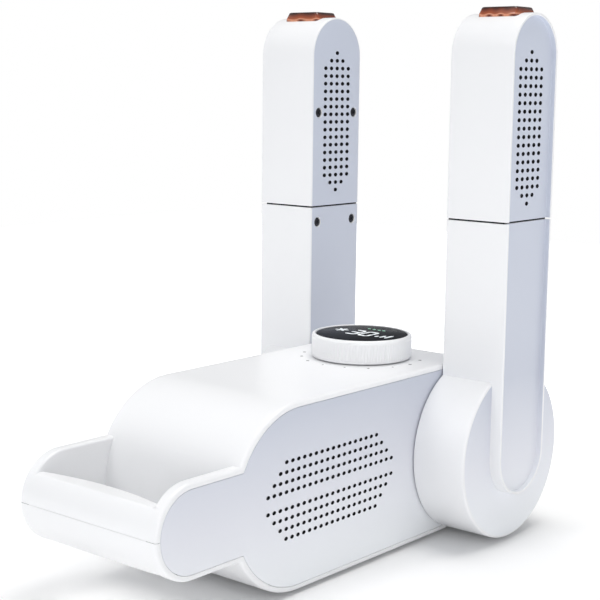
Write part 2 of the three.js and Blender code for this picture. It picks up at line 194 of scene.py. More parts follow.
def floor_painted_glow():
    """Matt white floor with painted light: it glows a little away from the object, like a lit studio sweep,
    and that glow also lights the object from below.
    """
    material = plastic("floor_painted_glow", (0.95, 0.95, 0.95), 0.8, 0.01, 60, gloss=0.2)
    nodes = material.node_tree.nodes
    links = material.node_tree.links
    distance = nodes.new("ShaderNodeVectorMath")
    distance.operation = "LENGTH"
    links.new(nodes.new("ShaderNodeTexCoord").outputs["Object"], distance.inputs[0])
    away = nodes.new("ShaderNodeMapRange")
    away.inputs["From Min"].default_value = 0.14
    away.inputs["From Max"].default_value = 0.7
    links.new(distance.outputs["Value"], away.inputs["Value"])
    shader = nodes["Principled BSDF"]
    # The emission is painted light: none near the object, full strength 0.7 m away.
    links.new(away.outputs["Result"], shader.inputs["Emission Strength"])
    shader.inputs["Emission Color"].default_value = (1, 1, 1, 1)
    return material


def make_floor():
    half = 1.5
    corners = [(-half, -half, 0), (half, -half, 0), (half, half, 0), (-half, half, 0)]
    mesh = bpy.data.meshes.new("floor")
    mesh.from_pydata(corners, [], [(0, 1, 2, 3)])
    mesh.materials.append(floor_painted_glow())
    floor = bpy.data.objects.new("floor", mesh)
    floor.location.z = -0.0002
    bpy.context.collection.objects.link(floor)


def make_studio():
    area_light("top", (0.1, 0.2, 1.7), 1.2, 17.6, (1.0, 0.985, 0.96))
    area_light("front", (-0.3, -1.1, 1.5), 1.3, 2, (1.0, 1.0, 0.99))
    area_light("right", (1.2, -1.4, 0.6), 1.4, 3.6, (0.98, 0.985, 1.0))
    area_light("left", (-1.8, -0.3, 0.8), 1.4, 3, (1.0, 1.0, 1.0))
    spot_light("nose_pool", (-0.35, -1.0, 0.85), (0, -0.07, 0.07), 26, 19.5)
    spot_light("side_pool", (1.1, -1.0, 0.45), (0.05, 0.05, 0.04), 20, 33)
    bpy.context.scene.world = studio_world()
    bpy.context.scene.view_settings.view_transform = "Standard"


# ---- Materials


def start_material(name):
    material = bpy.data.materials.new(name)
    material.use_nodes = True
    nodes = material.node_tree.nodes
    return material, nodes, material.node_tree.links, nodes["Principled BSDF"]


def noise(nodes, links, scale, detail, coordinates=None):
    texture = nodes.new("ShaderNodeTexNoise")
    texture.inputs["Scale"].default_value = scale
    texture.inputs["Detail"].default_value = detail
    where = coordinates or nodes.new("ShaderNodeTexCoord").outputs["Object"]
    links.new(where, texture.inputs["Vector"])
    return texture.outputs["Fac"]


def remap(nodes, links, value, low, high):
    span = nodes.new("ShaderNodeMapRange")
    span.inputs["To Min"].default_value = low
    span.inputs["To Max"].default_value = high
    links.new(value, span.inputs["Value"])
    return span.outputs["Result"]


def ramp(nodes, links, value, stops):
    steps = nodes.new("ShaderNodeValToRGB")
    while len(steps.color_ramp.elements) < len(stops):
        steps.color_ramp.elements.new(0.5)
    for element, (position, colour) in zip(steps.color_ramp.elements, stops):
        element.position = position
        element.color = (*colour, 1)
    links.new(value, steps.inputs["Fac"])
    return steps.outputs["Color"]


def add_bump(nodes, links, shader, height, strength, distance):
    bump = nodes.new("ShaderNodeBump")
    bump.inputs["Strength"].default_value = strength
    bump.inputs["Distance"].default_value = distance
    links.new(height, bump.inputs["Height"])
    links.new(bump.outputs["Normal"], shader.inputs["Normal"])


def moulded(name, roughness, grain, gloss=0.5, depth=0.00001):
    """A moulded surface without its colour: a fine spark-eroded grain and uneven gloss."""
    material, nodes, links, shader = start_material(name)
    handled = noise(nodes, links, 35, 4)
    links.new(remap(nodes, links, handled, roughness * 0.88, roughness * 1.12), shader.inputs["Roughness"])
    add_bump(nodes, links, shader, noise(nodes, links, grain, 2), 0.35, depth)
    shader.inputs["Specular IOR Level"].default_value = gloss
    return material, nodes, links, shader


def plastic(name, colour, roughness, mottle, grain, gloss=0.5, depth=0.00001):
    """Moulded plastic of one colour with slow drifts of shade."""
    material, nodes, links, shader = moulded(name, roughness, grain, gloss, depth)
    light = [min(1.0, c * (1 + mottle)) for c in colour]
    dark = [c * (1 - mottle) for c in colour]
    drift = noise(nodes, links, 9, 3)
    links.new(ramp(nodes, links, drift, [(0.3, dark), (0.7, light)]), shader.inputs["Base Color"])
    return material


def panel_plastic(name):
    """Satin grey-lavender plastic, part its own colour and part painted shade: its tint is deepest at the
    height of the housing's top and paler towards the floor, as the light falls.
    """
    material, nodes, links, shader = moulded(name, 0.42, 1500)
    parts = nodes.new("ShaderNodeSeparateXYZ")
    links.new(nodes.new("ShaderNodeTexCoord").outputs["Object"], parts.inputs["Vector"])
    height = nodes.new("ShaderNodeMapRange")
    height.inputs["From Max"].default_value = 0.3
    links.new(parts.outputs["Z"], height.inputs["Value"])
    wander = nodes.new("ShaderNodeMath")
    wander.operation = "MULTIPLY_ADD"
    wander.inputs[1].default_value = 0.03
    links.new(noise(nodes, links, 9, 3), wander.inputs[0])
    links.new(height.outputs["Result"], wander.inputs[2])
    # Painted shade and painted floor light: pale near the floor, darkest at the housing's top, a little
    # paler again up the arms.
    stops = [
        (0.05, (0.88, 0.9, 0.925)),
        (0.18, (0.745, 0.755, 0.81)),
        (0.34, (0.55, 0.578, 0.66)),
        (1.0, (0.585, 0.622, 0.716)),
    ]
    links.new(ramp(nodes, links, wander.outputs["Value"], stops), shader.inputs["Base Color"])
    return material


def metal(name, colour, roughness, stretch=(1, 1, 1)):
    """Plated or drawn metal with fine tool marks along one direction."""
    material, nodes, links, shader = start_material(name)
    mapping = nodes.new("ShaderNodeMapping")
    mapping.inputs["Scale"].default_value = stretch
    links.new(nodes.new("ShaderNodeTexCoord").outputs["Object"], mapping.inputs["Vector"])
    marks = noise(nodes, links, 900, 3, mapping.outputs["Vector"])
    dull = [c * 0.8 for c in colour]
    links.new(ramp(nodes, links, marks, [(0.35, dull), (0.65, colour)]), shader.inputs["Base Color"])
    links.new(remap(nodes, links, marks, roughness * 0.8, roughness * 1.25), shader.inputs["Roughness"])
    add_bump(nodes, links, shader, marks, 0.3, 0.00002)
    shader.inputs["Metallic"].default_value = 1.0
    return material


def amber_lens(name):
    """Amber moulding, darker towards its top edge, its lower part streaked with painted highlights in pale
    peach; the same streaks vary its gloss.
    """
    material, nodes, links, shader = start_material(name)
    where = nodes.new("ShaderNodeTexCoord").outputs["Object"]
    parts = nodes.new("ShaderNodeSeparateXYZ")
    links.new(where, parts.inputs["Vector"])
    rise = nodes.new("ShaderNodeMapRange")
    rise.inputs["From Min"].default_value = (MID + ARCH + LENS_TOP - 4.5) * MM
    rise.inputs["From Max"].default_value = (MID + ARCH + LENS_TOP) * MM
    links.new(parts.outputs["Z"], rise.inputs["Value"])
    streak = nodes.new("ShaderNodeTexWave")
    streak.bands_direction = "X"
    streak.inputs["Scale"].default_value = 30
    streak.inputs["Distortion"].default_value = 9
    streak.inputs["Detail"].default_value = 2
    links.new(where, streak.inputs["Vector"])
    mix = nodes.new("ShaderNodeMath")
    mix.operation = "MULTIPLY_ADD"
    mix.inputs[1].default_value = 0.14
    links.new(streak.outputs["Fac"], mix.inputs[0])
    links.new(rise.outputs["Result"], mix.inputs[2])
    # Painted highlight at the 0.12 stop, pale peach low on the lens; the later stops darken it towards the
    # top edge.
    stops = [
        (0.0, (0.15, 0.03, 0.015)),
        (0.12, (0.75, 0.33, 0.2)),
        (0.26, (0.36, 0.09, 0.036)),
        (0.62, (0.2, 0.042, 0.017)),
        (0.9, (0.05, 0.012, 0.007)),
    ]
    links.new(ramp(nodes, links, mix.outputs["Value"], stops), shader.inputs["Base Color"])
    links.new(remap(nodes, links, streak.outputs["Fac"], 0.1, 0.2), shader.inputs["Roughness"])
    shader.inputs["Coat Weight"].default_value = 0.35
    shader.inputs["Coat Roughness"].default_value = 0.05
    shader.inputs["Subsurface Weight"].default_value = 0.15
    shader.inputs["Subsurface Scale"].default_value = 0.002
    return material


def black_window(name):
    """Smoked display window: near black, with a faint cloud and fine wipe marks in its gloss."""
    material, nodes, links, shader = start_material(name)
    cloud = noise(nodes, links, 70, 4)
    links.new(ramp(nodes, links, cloud, [(0.3, (0.012, 0.013, 0.016)), (0.7, (0.026, 0.027, 0.031))]),
              shader.inputs["Base Color"])
    links.new(remap(nodes, links, noise(nodes, links, 400, 3), 0.14, 0.24), shader.inputs["Roughness"])
    shader.inputs["IOR"].default_value = 1.045
    return material


def lit_marks(name, colour, strength):
    """Lamps behind the display window, a little uneven along each stroke."""
    material, nodes, links, shader = start_material(name)
    glow = noise(nodes, links, 500, 2)
    dim = [c * 0.7 for c in colour]
    tint = ramp(nodes, links, glow, [(0.35, dim), (0.65, colour)])
    links.new(tint, shader.inputs["Base Color"])
    links.new(tint, shader.inputs["Emission Color"])
    shader.inputs["Emission Strength"].default_value = strength
    return material


def circuit_board(name):
    """Green solder mask with darker copper traces under it."""
    material, nodes, links, shader = start_material(name)
    bricks = nodes.new("ShaderNodeTexBrick")
    bricks.inputs["Scale"].default_value = 260
    bricks.inputs["Mortar Size"].default_value = 0.03
    bricks.inputs["Color1"].default_value = (0.015, 0.14, 0.05, 1)
    bricks.inputs["Color2"].default_value = (0.02, 0.19, 0.07, 1)
    bricks.inputs["Mortar"].default_value = (0.1, 0.3, 0.1, 1)
    links.new(nodes.new("ShaderNodeTexCoord").outputs["Object"], bricks.inputs["Vector"])
    links.new(bricks.outputs["Color"], shader.inputs["Base Color"])
    links.new(remap(nodes, links, bricks.outputs["Fac"], 0.35, 0.55), shader.inputs["Roughness"])
    return material


# ---- Meshes


def inside(spot, ring):
    """Whether a flat point lies inside a ring, by counting the sides to its right."""
    crossings = 0
    for (u0, v0), (u1, v1) in zip(ring, ring[1:] + ring[:1]):
        if (v0 > spot.y) != (v1 > spot.y) and spot.x < u0 + (spot.y - v0) / (v1 - v0) * (u1 - u0):
            crossings += 1
    return crossings % 2 == 1


class Skin:
    """Points in millimetres and the faces between them, gathered for one piece."""

    def __init__(self):
        self.points = []
        self.faces = []
        self.looks = []

    def add_face(self, corners, look):
        self.faces.append(corners)
        self.looks.append(look)

    def strip(self, rings, closed=False, look=0):
        start = len(self.points)
        count = len(rings[0])
        for ring in rings:
            self.points.extend(ring)
        steps = count if closed else count - 1
        for row in range(len(rings) - 1):
            for k in range(steps):
                a = start + row * count + k
                b = start + row * count + (k + 1) % count
                self.add_face((a, b, b + count, a + count), look)

    def fill(self, *loops, look=0):
        """A flat face inside the first loop and outside the others."""
        points = [Vector(p) for loop in loops for p in loop]
        rim = points[: len(loops[0])]
        normal = sum((a.cross(b) for a, b in zip(rim, rim[1:] + rim[:1])), Vector())
        drop = max(range(3), key=lambda i: abs(normal[i]))
        u, v = [i for i in range(3) if i != drop]
        flat = [Vector((p[u], p[v])) for p in points]
        edges, first = [], 0
        for loop in loops:
            edges += [(first + k, first + (k + 1) % len(loop)) for k in range(len(loop))]
            first += len(loop)
        made, _, triangles, _, _, _ = delaunay_2d_cdt(flat, edges, [], 1, 1e-5)
        start = len(self.points)
        for spot in made:
            place = [0, 0, 0]
            place[u], place[v], place[drop] = spot.x, spot.y, points[0][drop]
            self.points.append(tuple(place))
        rings = [[(p[u], p[v]) for p in loop] for loop in loops[1:]]
        for triangle in triangles:
            middle = sum((made[i] for i in triangle), Vector((0, 0))) / 3
            if not any(inside(middle, ring) for ring in rings):
                self.add_face(tuple(start + i for i in triangle), look)

    def reflected(self, place):
        """The skin with every point put where place(x, y, z) says, and its faces turned over."""
        other = Skin()
        other.points = [place(*point) for point in self.points]
        other.faces = [tuple(reversed(face)) for face in self.faces]
        other.looks = self.looks
        return other

    def mirrored(self):
        return self.reflected(lambda x, y, z: (-x, y, z))

    def upside_down(self):
        return self.reflected(lambda x, y, z: (x, y, 2 * MID - z))


def mesh_from(skin, name):
    mesh = bpy.data.meshes.new(name)
    mesh.from_pydata([Vector(p) * MM for p in skin.points], [], skin.faces)
    mesh.polygons.foreach_set("material_index", skin.looks)
    work = bmesh.new()
    work.from_mesh(mesh)
    bmesh.ops.remove_doubles(work, verts=work.verts, dist=0.004 * MM)
    bmesh.ops.recalc_face_normals(work, faces=work.faces)
    work.to_mesh(mesh)
    work.free()
    return mesh


def applied(mesh, prepare):
    """The mesh with the modifiers that prepare(object) adds."""
    carrier = bpy.data.objects.new("carrier", mesh)
    bpy.context.collection.objects.link(carrier)
    prepare(carrier)
    graph = bpy.context.evaluated_depsgraph_get()
    result = bpy.data.meshes.new_from_object(carrier.evaluated_get(graph), depsgraph=graph)
    bpy.data.objects.remove(carrier)
    return result


def thickened(skin, name, wall):
    """The skin as a mesh with a wall of that thickness behind it, in the look after each face's own."""

    def prepare(carrier):
        modifier = carrier.modifiers.new("wall", "SOLIDIFY")
        modifier.thickness = wall * MM
        modifier.offset = -1
        # The wall's back and rims take the next look: after white and grey that is the near black inside,
        # painted shade.
        modifier.material_offset = 1
        modifier.material_offset_rim = 1

    mesh = mesh_from(skin, name)
    for _ in range(4):
        mesh.materials.append(None)
    return applied(mesh, prepare)


def piece(name, meshes, looks, body, slot, replaced=(), angle=32):
    """Joins the meshes into one piece that rides on a body, with edges over angle degrees left sharp."""
    work = bmesh.new()
    for mesh in meshes:
        work.from_mesh(mesh)
    joined = bpy.data.meshes.new(name)
    work.to_mesh(joined)
    work.free()
    for look in looks:
        joined.materials.append(LOOKS[look])
    joined.shade_smooth()
    joined.set_sharp_from_angle(angle=radians(angle))
    made = bpy.data.objects.new(name, joined)
    bpy.context.collection.objects.link(made)
    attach(made, body)
    if replaced:
        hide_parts(*replaced)
    return made


def arc(cu, cv, radius, start, end, steps):
    """Points on an arc, in degrees, both ends included."""
    angles = [radians(start + (end - start) * k / steps) for k in range(steps + 1)]
    return [(cu + radius * cos(a), cv + radius * sin(a)) for a in angles]


def straight(u0, v0, u1, v1, steps):
    """Points between two places, both left out."""
    return [(u0 + (u1 - u0) * k / steps, v0 + (v1 - v0) * k / steps) for k in range(1, steps)]


def bend(start, corner, end, steps=4):
    """A smooth turn round a corner."""
    turn = []
    for k in range(steps + 1):
        t = k / steps
        weights = ((1 - t) ** 2, 2 * t * (1 - t), t * t)
        turn.append(tuple(sum(w * p[i] for w, p in zip(weights, (start, corner, end))) for i in (0, 1)))
    return turn


def at_x(x, outline):
    """A side-view outline, with heights from the mid plane, placed at x."""
    return [(x, y, MID + z) for y, z in outline]


def at_z(z, outline):
    """A plan outline, placed at a height above the mid plane."""
    return [(x, y, MID + z) for x, y in outline]


def circle(u, v, radius, steps):
    return arc(u, v, radius, 0, 360 - 360 / steps, steps - 1)


def air_hole(y, z, size=1.0):
    return [(y + HOLE_Y * u, z + HOLE_Z * v) for u, v in circle(0, 0, size, 16)]


def fillet(radius, steps):
    """Distances in from the side plane and in from the outline round an edge, from the side plane out."""
    turns = [radians(90 * k / steps) for k in range(steps + 1)]
    return [(radius - radius * cos(t), radius - radius * sin(t)) for t in turns]


def lathe(profile, u, v, columns):
    """A skin turned from a (radius, height above the mid plane) profile about an upright axis."""
    skin = Skin()
    skin.strip([at_z(z, circle(u, v, radius, columns)) for radius, z in profile], closed=True)
    return skin


# ---- Housing

BAR_ANGLE = degrees(asin(BAR_TOP / NOSE_R))
BAR_END_ANGLE = degrees(acos((NOSE_FRONT - BAR_BACK + BAR_BOW) / NOSE_R))
SEAM_ANGLE = degrees(asin(SEAM / NOSE_R))
BODY_SEAM_ANGLE = degrees(asin(SEAM / BODY_R))


def notch(inset):
    """The angle on the body's front arc where the nose meets it."""
    return 180 - degrees(asin((NOSE_R - inset) / (BODY_R - inset)))


def back_arc(inset):
    """The body's back arc from its top to the seam, with points at the top and bottom of the inlet."""
    low = degrees(asin(INLET_TOP / BODY_R))
    high = degrees(asin(INLET_BOTTOM / BODY_R))
    radius = BODY_R - inset
    upper = arc(PIVOT, 0, radius, 90, high, 20)
    middle = arc(PIVOT, 0, radius, high, low, 6)
    return upper, middle, arc(PIVOT, 0, radius, low, BODY_SEAM_ANGLE, 3)


def body_outline(inset):
    """The body's upper outline, from the notch over the top to the seam at its back."""
    radius = BODY_R - inset
    upper, middle, lower = back_arc(inset)
    front = arc(BODY_FRONT, 0, radius, notch(inset), 90, 22)
    return front + straight(BODY_FRONT, radius, PIVOT, radius, 12) + upper + middle[1:] + lower[1:]


def nose_lip(lip):
    """The nose's outline from the seam at its front up to the angle where the handle bar ends."""
    return lambda inset: arc(NOSE_FRONT, 0, NOSE_R - inset, 180 - SEAM_ANGLE, 180 - lip, 12)


def nose_top(lip, against_rim=True):
    """The nose's outline from there back to the body, which is inset by as much only at the rim."""

    def outline(inset):
        height = NOSE_R - inset
        radius = BODY_R - inset if against_rim else BODY_R
        end = BODY_FRONT - sqrt(radius**2 - height**2)
        arch = arc(NOSE_FRONT, 0, height, 180 - lip, 90, 16)
        return arch + straight(NOSE_FRONT, height, end, height, 8) + [(end, height)]

    return outline


def cheek_insets(lip, steps):
    """How far in each point of the cheek's rounded inner edge lies, edge ring by edge ring."""
    top = nose_top(lip, False)
    path = [Vector(p) for p in top(0)]
    run = 0.0
    radii = []
    for before, point in zip([path[0], *path], path):
        run += (point - before).length
        radii.append(CHEEK_ROUND * min(1.0, run / CHEEK_ROUND))
    rings = []
    for k in range(steps + 1):
        turn = radians(90 * k / steps)
        ring = []
        for i, radius in enumerate(radii):
            y, z = top(radius - radius * cos(turn))[i]
            ring.append((CHEEK_X + radius - radius * sin(turn), y, z))
        rings.append(ring)
    return rings


def housing_half(lip, window):
    """The upper half of the housing's skin without the bar; window leaves the inlet's opening."""
    skin = Skin()
    edge = BODY_X - FILLET
    rings = cheek_insets(lip, 5)
    for side in (1, -1):
        for outline in (nose_lip(lip), nose_top(lip), body_outline):
            pocket = ((POCKET_X, RIM), (BODY_X - RIM_ROUND, RIM), (BODY_X, RIM - RIM_ROUND))
            rim = [at_x(side * x, outline(inset)) for x, inset in pocket]
            rim += [at_x(side * (BODY_X - across), outline(inset)) for across, inset in fillet(FILLET, 7)]
            skin.strip(rim)
        skin.strip([at_x(side * x, nose_lip(lip)(0)) for x in (edge, CHEEK_X)])
        rounded = [[(side * x, y, MID + z) for x, y, z in ring] for ring in rings]
        skin.strip([at_x(side * edge, nose_top(lip)(0))] + rounded)
        corner = [ring[-1] for ring in rounded]
        skin.strip([corner, [(side * CHEEK_X, y, z) for _, y, z in corner]])
        face = nose_lip(lip)(0) + [(y, z) for _, y, z in rings[-1][1:]]
        fall = 180 - degrees(asin((NOSE_R - CHEEK_ROUND) / BODY_R))
        face += arc(BODY_FRONT, 0, BODY_R, fall, 180, 16)[1:]
        skin.fill(at_x(side * CHEEK_X, face))
    for x0, x1 in ((edge, CHEEK_X), (CHEEK_X, INLET_X), (-INLET_X, -CHEEK_X), (-CHEEK_X, -edge)):
        skin.strip([at_x(x, body_outline(0)) for x in (x0, x1)])
    gap = len(back_arc(0)[1]) + len(back_arc(0)[2]) - 2
    middle = body_outline(0)
    if window:
        skin.strip([at_x(x, middle[: len(middle) - gap]) for x in (INLET_X, -INLET_X)])
        skin.strip([at_x(x, back_arc(0)[2]) for x in (INLET_X, -INLET_X)])
    else:
        skin.strip([at_x(x, middle) for x in (INLET_X, -INLET_X)])
    wall = arc(BODY_FRONT, 0, BODY_R, 180, notch(0), 16)
    skin.strip([at_x(x, wall) for x in (CHEEK_X, -CHEEK_X)])
    return skin


def bar_half(upper):
    """The upper or lower half of the handle bar, whose back face is bowed towards the hand."""
    bow = (CHEEK_X**2 + BAR_BOW**2) / (2 * BAR_BOW)
    front_reach = 1.3
    back_reach = 1.0
    columns = 28
    rings = []
    for k in range(columns + 1):
        x = CHEEK_X - 2 * CHEEK_X * k / columns
        back = BAR_BACK - bow + sqrt(bow**2 - x**2)
        if upper:
            trim = degrees(front_reach / NOSE_R)
            front = arc(NOSE_FRONT, 0, NOSE_R, 180 - SEAM_ANGLE, 180 - BAR_ANGLE + trim, 14)
            edge = NOSE_FRONT - sqrt(NOSE_R**2 - BAR_TOP**2)
            profile = front[:-1] + bend(front[-1], (edge, BAR_TOP), (edge + front_reach, BAR_TOP))
            height = BAR_TOP
            profile += bend((back - back_reach, height), (back, height), (back, height - back_reach))
        else:
            end = degrees(acos((NOSE_FRONT - back) / NOSE_R))
            trim = degrees(back_reach / NOSE_R)
            front = arc(NOSE_FRONT, 0, NOSE_R, 180 - SEAM_ANGLE, 180 - end + trim, 18)
            height = sqrt(NOSE_R**2 - (back - NOSE_FRONT) ** 2)
            profile = front[:-1] + bend(front[-1], (back, height), (back, height - back_reach))
        profile.append((back, SEAM))
        rings.append(at_x(x, profile))
    skin = Skin()
    skin.strip(rings, closed=True)
    return skin


def side_outline(inset):
    """The whole outline of a side panel."""
    upper = arc(NOSE_FRONT, 0, NOSE_R - inset, 180, 90, 24)
    height = NOSE_R - inset
    end = BODY_FRONT - sqrt((BODY_R - inset) ** 2 - height**2)
    upper += straight(NOSE_FRONT, height, end, height, 6)
    upper += arc(BODY_FRONT, 0, BODY_R - inset, notch(inset), 90, 30)
    upper += arc(PIVOT, 0, BODY_R - inset, 90, 0, 40)
    lower = [(y, -z) for y, z in reversed(upper[1:-1])]
    return upper + lower


def vent_spots():
    """Where the side panel's holes are: eight rows in two blocks whose ends step in."""
    centre_y, pitch_y, pitch_z, middle_gap = -21.15, 4.68, 5.215, 8.87
    spots = []
    for row, count in enumerate((23, 21, 19, 17)):
        rise = middle_gap / 2 + row * pitch_z
        for k in range(count):
            y = centre_y + (k - (count - 1) / 2) * pitch_y
            spots += [(y, rise), (y, -rise)]
    return spots


def make_shell(name, walls, bar):
    meshes = [thickened(walls, name + "_walls", HOUSING_WALL), mesh_from(bar, name + "_bar")]
    piece(name + "_skin", meshes, ["white", "inside"], "housing", "white_plastic", [name])


def make_side_panel(name, side):
    skin = Skin()
    rings = [at_x(side * (POCKET_X + 0.2), side_outline(RIM + PANEL_GAP))]
    for across, inset in reversed(fillet(PANEL_ROUND, 3)):
        rings.append(at_x(side * (BODY_X - across), side_outline(RIM + PANEL_GAP + inset)))
    skin.strip(rings, closed=True)
    holes = [at_x(side * BODY_X, air_hole(y, z)) for y, z in vent_spots()]
    skin.fill(rings[-1], *holes)
    mesh = thickened(skin, name, PANEL_WALL)
    piece(name + "_skin", [mesh], ["panel", "inside"], "housing", "pale_grey_plastic", [name])


def make_housing():
    make_shell("upper_shell", housing_half(BAR_ANGLE, False), bar_half(True))
    lower_walls = housing_half(BAR_END_ANGLE, True).upside_down()
    make_shell("lower_shell", lower_walls, bar_half(False).upside_down())
    make_side_panel("right_side_panel", 1)
    make_side_panel("left_side_panel", -1)


def make_feet():
    recess = [(AXIS, 1.0), (3.2, 1.0), (3.6, 0.6)]
    sole = [(3.8, 0.0), (5.2, 0.0)]
    flank = [(5.9, 0.5), (6.1, 1.4)]
    flange = [(6.7, 2.0), (6.7, 3.2), (AXIS, 3.2)]
    profile = [(radius, height - MID) for radius, height in recess + sole + flank + flange]
    for corner in ("front_right", "front_left", "back_right", "back_left"):
        node = "foot_" + corner
        low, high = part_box(node)
        middle = (low + high) / 2 / MM
        turned = lathe(profile, middle.x, middle.y, 40)
        piece(node + "_pad", [mesh_from(turned, corner)], ["rubber"], "housing", "rubber", [node])


# ---- Knob and display


def make_knob():
    ribs = 108
    per_rib = 6
    columns = ribs * per_rib

    def ring(radius, z, depth=0.0):
        points = []
        for k in range(columns):
            reach = radius - depth * (0.5 - 0.5 * cos(2 * pi * k / per_rib))
            turn = 2 * pi * k / columns
            points.append((reach * cos(turn), KNOB_Y + reach * sin(turn), MID + z))
        return points

    underside = [(22.5, 52.8), (22.5, 50.9), (28.7, 50.7), (29.2, 51.0), (29.4, 51.8)]
    ribbed = [(29.45, 52.4, RIB_DEPTH), (29.45, 61.0, RIB_DEPTH)]
    shoulder = [(29.45, 61.6), (29.4, 62.6), (29.1, 63.5), (28.6, 64.0)]
    crest = [(28.0, 64.2), (27.5, 64.15), (27.15, 63.9)]
    bore = [(27.1, 63.4), (27.1, 61.2), (27.1, 52.8)]
    rows = underside + ribbed + shoulder + crest + bore + underside[:1]
    skin = Skin()
    skin.strip([ring(*row) for row in rows], closed=True)
    mesh = mesh_from(skin, "knob")
    piece("knob_ring_ribbed", [mesh], ["white"], "knob", "white_plastic", ["knob_ring"], KNOB_SHARP)


def make_display_window():
    low = DISPLAY_TOP - 2.3
    edge = [(26.4, low), (26.8, low + 0.4), (26.8, low + 1.8), (26.6, low + 2.15), (26.2, DISPLAY_TOP)]
    turned = lathe([(AXIS, low), *edge, (AXIS, DISPLAY_TOP)], 0, KNOB_Y, 96)
    piece("display_window", [mesh_from(turned, "window")], ["window"], "display_button",
          "black_glossy", ["display_lens"])


SEGMENTS = {"0": "abcdef", "3": "abgcd"}


def bar_mark(x0, y0, x1, y1, half):
    """A flat stroke with pointed ends between two places on the display."""
    along = Vector((x1 - x0, y1 - y0)).normalized() * half
    side = Vector((-along.y, along.x))
    start, end = Vector((x0, y0)), Vector((x1, y1))
    inner_start, inner_end = start + along, end - along
    spots = [start, inner_start + side, inner_end + side, end, inner_end - side, inner_start - side]
    return [(p.x, p.y) for p in spots]


def digit(character, x, y, width, height):
    """A seven-segment digit, as strokes."""
    left, right, low, middle, high = x, x + width, y, y + height / 2, y + height
    places = {
        "a": (left, high, right, high),
        "b": (right, middle, right, high),
        "c": (right, low, right, middle),
        "d": (left, low, right, low),
        "e": (left, low, left, middle),
        "f": (left, middle, left, high),
        "g": (left, middle, right, middle),
    }
    return [bar_mark(*places[segment], STROKE) for segment in SEGMENTS[character]]


def flat_marks(name, strokes, z, look, body, slot):
    """Thin raised shapes lying on an upward face, placed from the dial's middle."""
    skin = Skin()
    for stroke in strokes:
        outline = [(x, KNOB_Y + y) for x, y in stroke]
        skin.strip([at_z(z, outline), at_z(z + MARK_HEIGHT, outline)], closed=True)
        skin.fill(at_z(z + MARK_HEIGHT, outline))
        skin.fill(at_z(z, outline))
    piece(name, [mesh_from(skin, name)], [look], body, slot)


def make_display_marks():
    def lit(name, strokes, look):
        flat_marks(name, strokes, DISPLAY_TOP, look, "display_button", "black_glossy")

    width, height = 6.2, 12.4
    lit("display_digits", [
        *digit("3", -7.6, -height / 2, width, height),
        *digit("0", 1.8, -height / 2, width, height),
    ], "lit_white")

    icons = []
    fan_x, fan_y, fan_reach = -15.6, 1.0, 4.4
    for k in range(3):
        turn = pi * k / 3 + 0.3
        dx, dy = fan_reach * cos(turn), fan_reach * sin(turn)
        icons.append(bar_mark(fan_x - dx, fan_y - dy, fan_x + dx, fan_y + dy, 0.75))
    for k in range(3):
        x = 13.0 + 3.4 * k
        icons.append(bar_mark(x, -4.6, x, -0.8 + 2.6 * k, 1.0))
    lit("display_icons", icons, "lit_white")

    level_y, lamp_pitch = 14.5, 3.6
    starts = [-6.6 + lamp_pitch * k for k in range(4)]
    lit("display_level", [bar_mark(x, level_y, x + 2.4, level_y, 0.7) for x in starts], "lit_green")


def make_dial_ticks():
    """Round dots and one dash printed round the dial, at angles from its right side."""
    radius = 35.2
    large, small = 1.0, 0.6
    dots = []
    for size, turns in ((large, (-158, -137, -114, 0, 23)), (small, (-91, -68, -22))):
        for turn in turns:
            dots.append(circle(radius * cos(radians(turn)), radius * sin(radians(turn)), size, 12))
    marker = radians(-46)
    inner, outer = 34.4, 36.6
    ends = (inner * cos(marker), inner * sin(marker), outer * cos(marker), outer * sin(marker))
    dots.append(bar_mark(*ends, 0.8))
    flat_marks("dial_ticks", dots, BODY_R - 0.02, "print_grey", "housing", "white_plastic")


# ---- Arms


def base_outline(drum_inset, tube_inset):
    """The arm base's side outline, open at the joint: down the tube, round the drum and up again."""
    radius = DRUM_R - drum_inset
    half = ARM_R - tube_inset
    meet = sqrt(radius**2 - half**2)
    turn = degrees(atan2(meet, half))
    front, back = PIVOT - half, PIVOT + half
    down = [(back, JOINT_LOW)] + straight(back, JOINT_LOW, back, meet, 6)
    up = straight(front, meet, front, JOINT_LOW, 6) + [(front, JOINT_LOW)]
    return down + arc(PIVOT, 0, radius, turn, -180 - turn, 110) + up


def head_outline(inset):
    """The arm head's side outline, open at the joint."""
    half = ARM_R - inset
    front, back = PIVOT - half, PIVOT + half
    rise = [(back, JOINT_HIGH)] + straight(back, JOINT_HIGH, back, ARCH, 6)
    fall = straight(front, ARCH, front, JOINT_HIGH, 6) + [(front, JOINT_HIGH)]
    return rise + arc(PIVOT, ARCH, half, 0, 180, 40) + fall


def hanging_outline(inset):
    """The base cover's side outline, open at the joint, round at the bottom."""
    half = ARM_R - inset
    front, back = PIVOT - half, PIVOT + half
    down = [(back, JOINT_LOW)] + straight(back, JOINT_LOW, back, 0, 6)
    up = straight(front, 0, front, JOINT_LOW, 6) + [(front, JOINT_LOW)]
    return down + arc(PIVOT, 0, half, 0, -180, 40) + up


def grille_spots():
    """Where a head's holes are: five columns, with the end rows stepped to a point."""
    pitch_y, pitch_z, middle = 5.5, 4.63, 185.25
    counts = [1, 3] + [5] * 15 + [3, 1]
    spots = []
    for row, count in enumerate(counts):
        z = middle + (row - (len(counts) - 1) / 2) * pitch_z
        spots += [(PIVOT + (k - (count - 1) / 2) * pitch_y, z) for k in range(count)]
    return spots


def screw_places(height):
    return [(PIVOT - ARM_SCREW_Y, height), (PIVOT + ARM_SCREW_Y, height)]


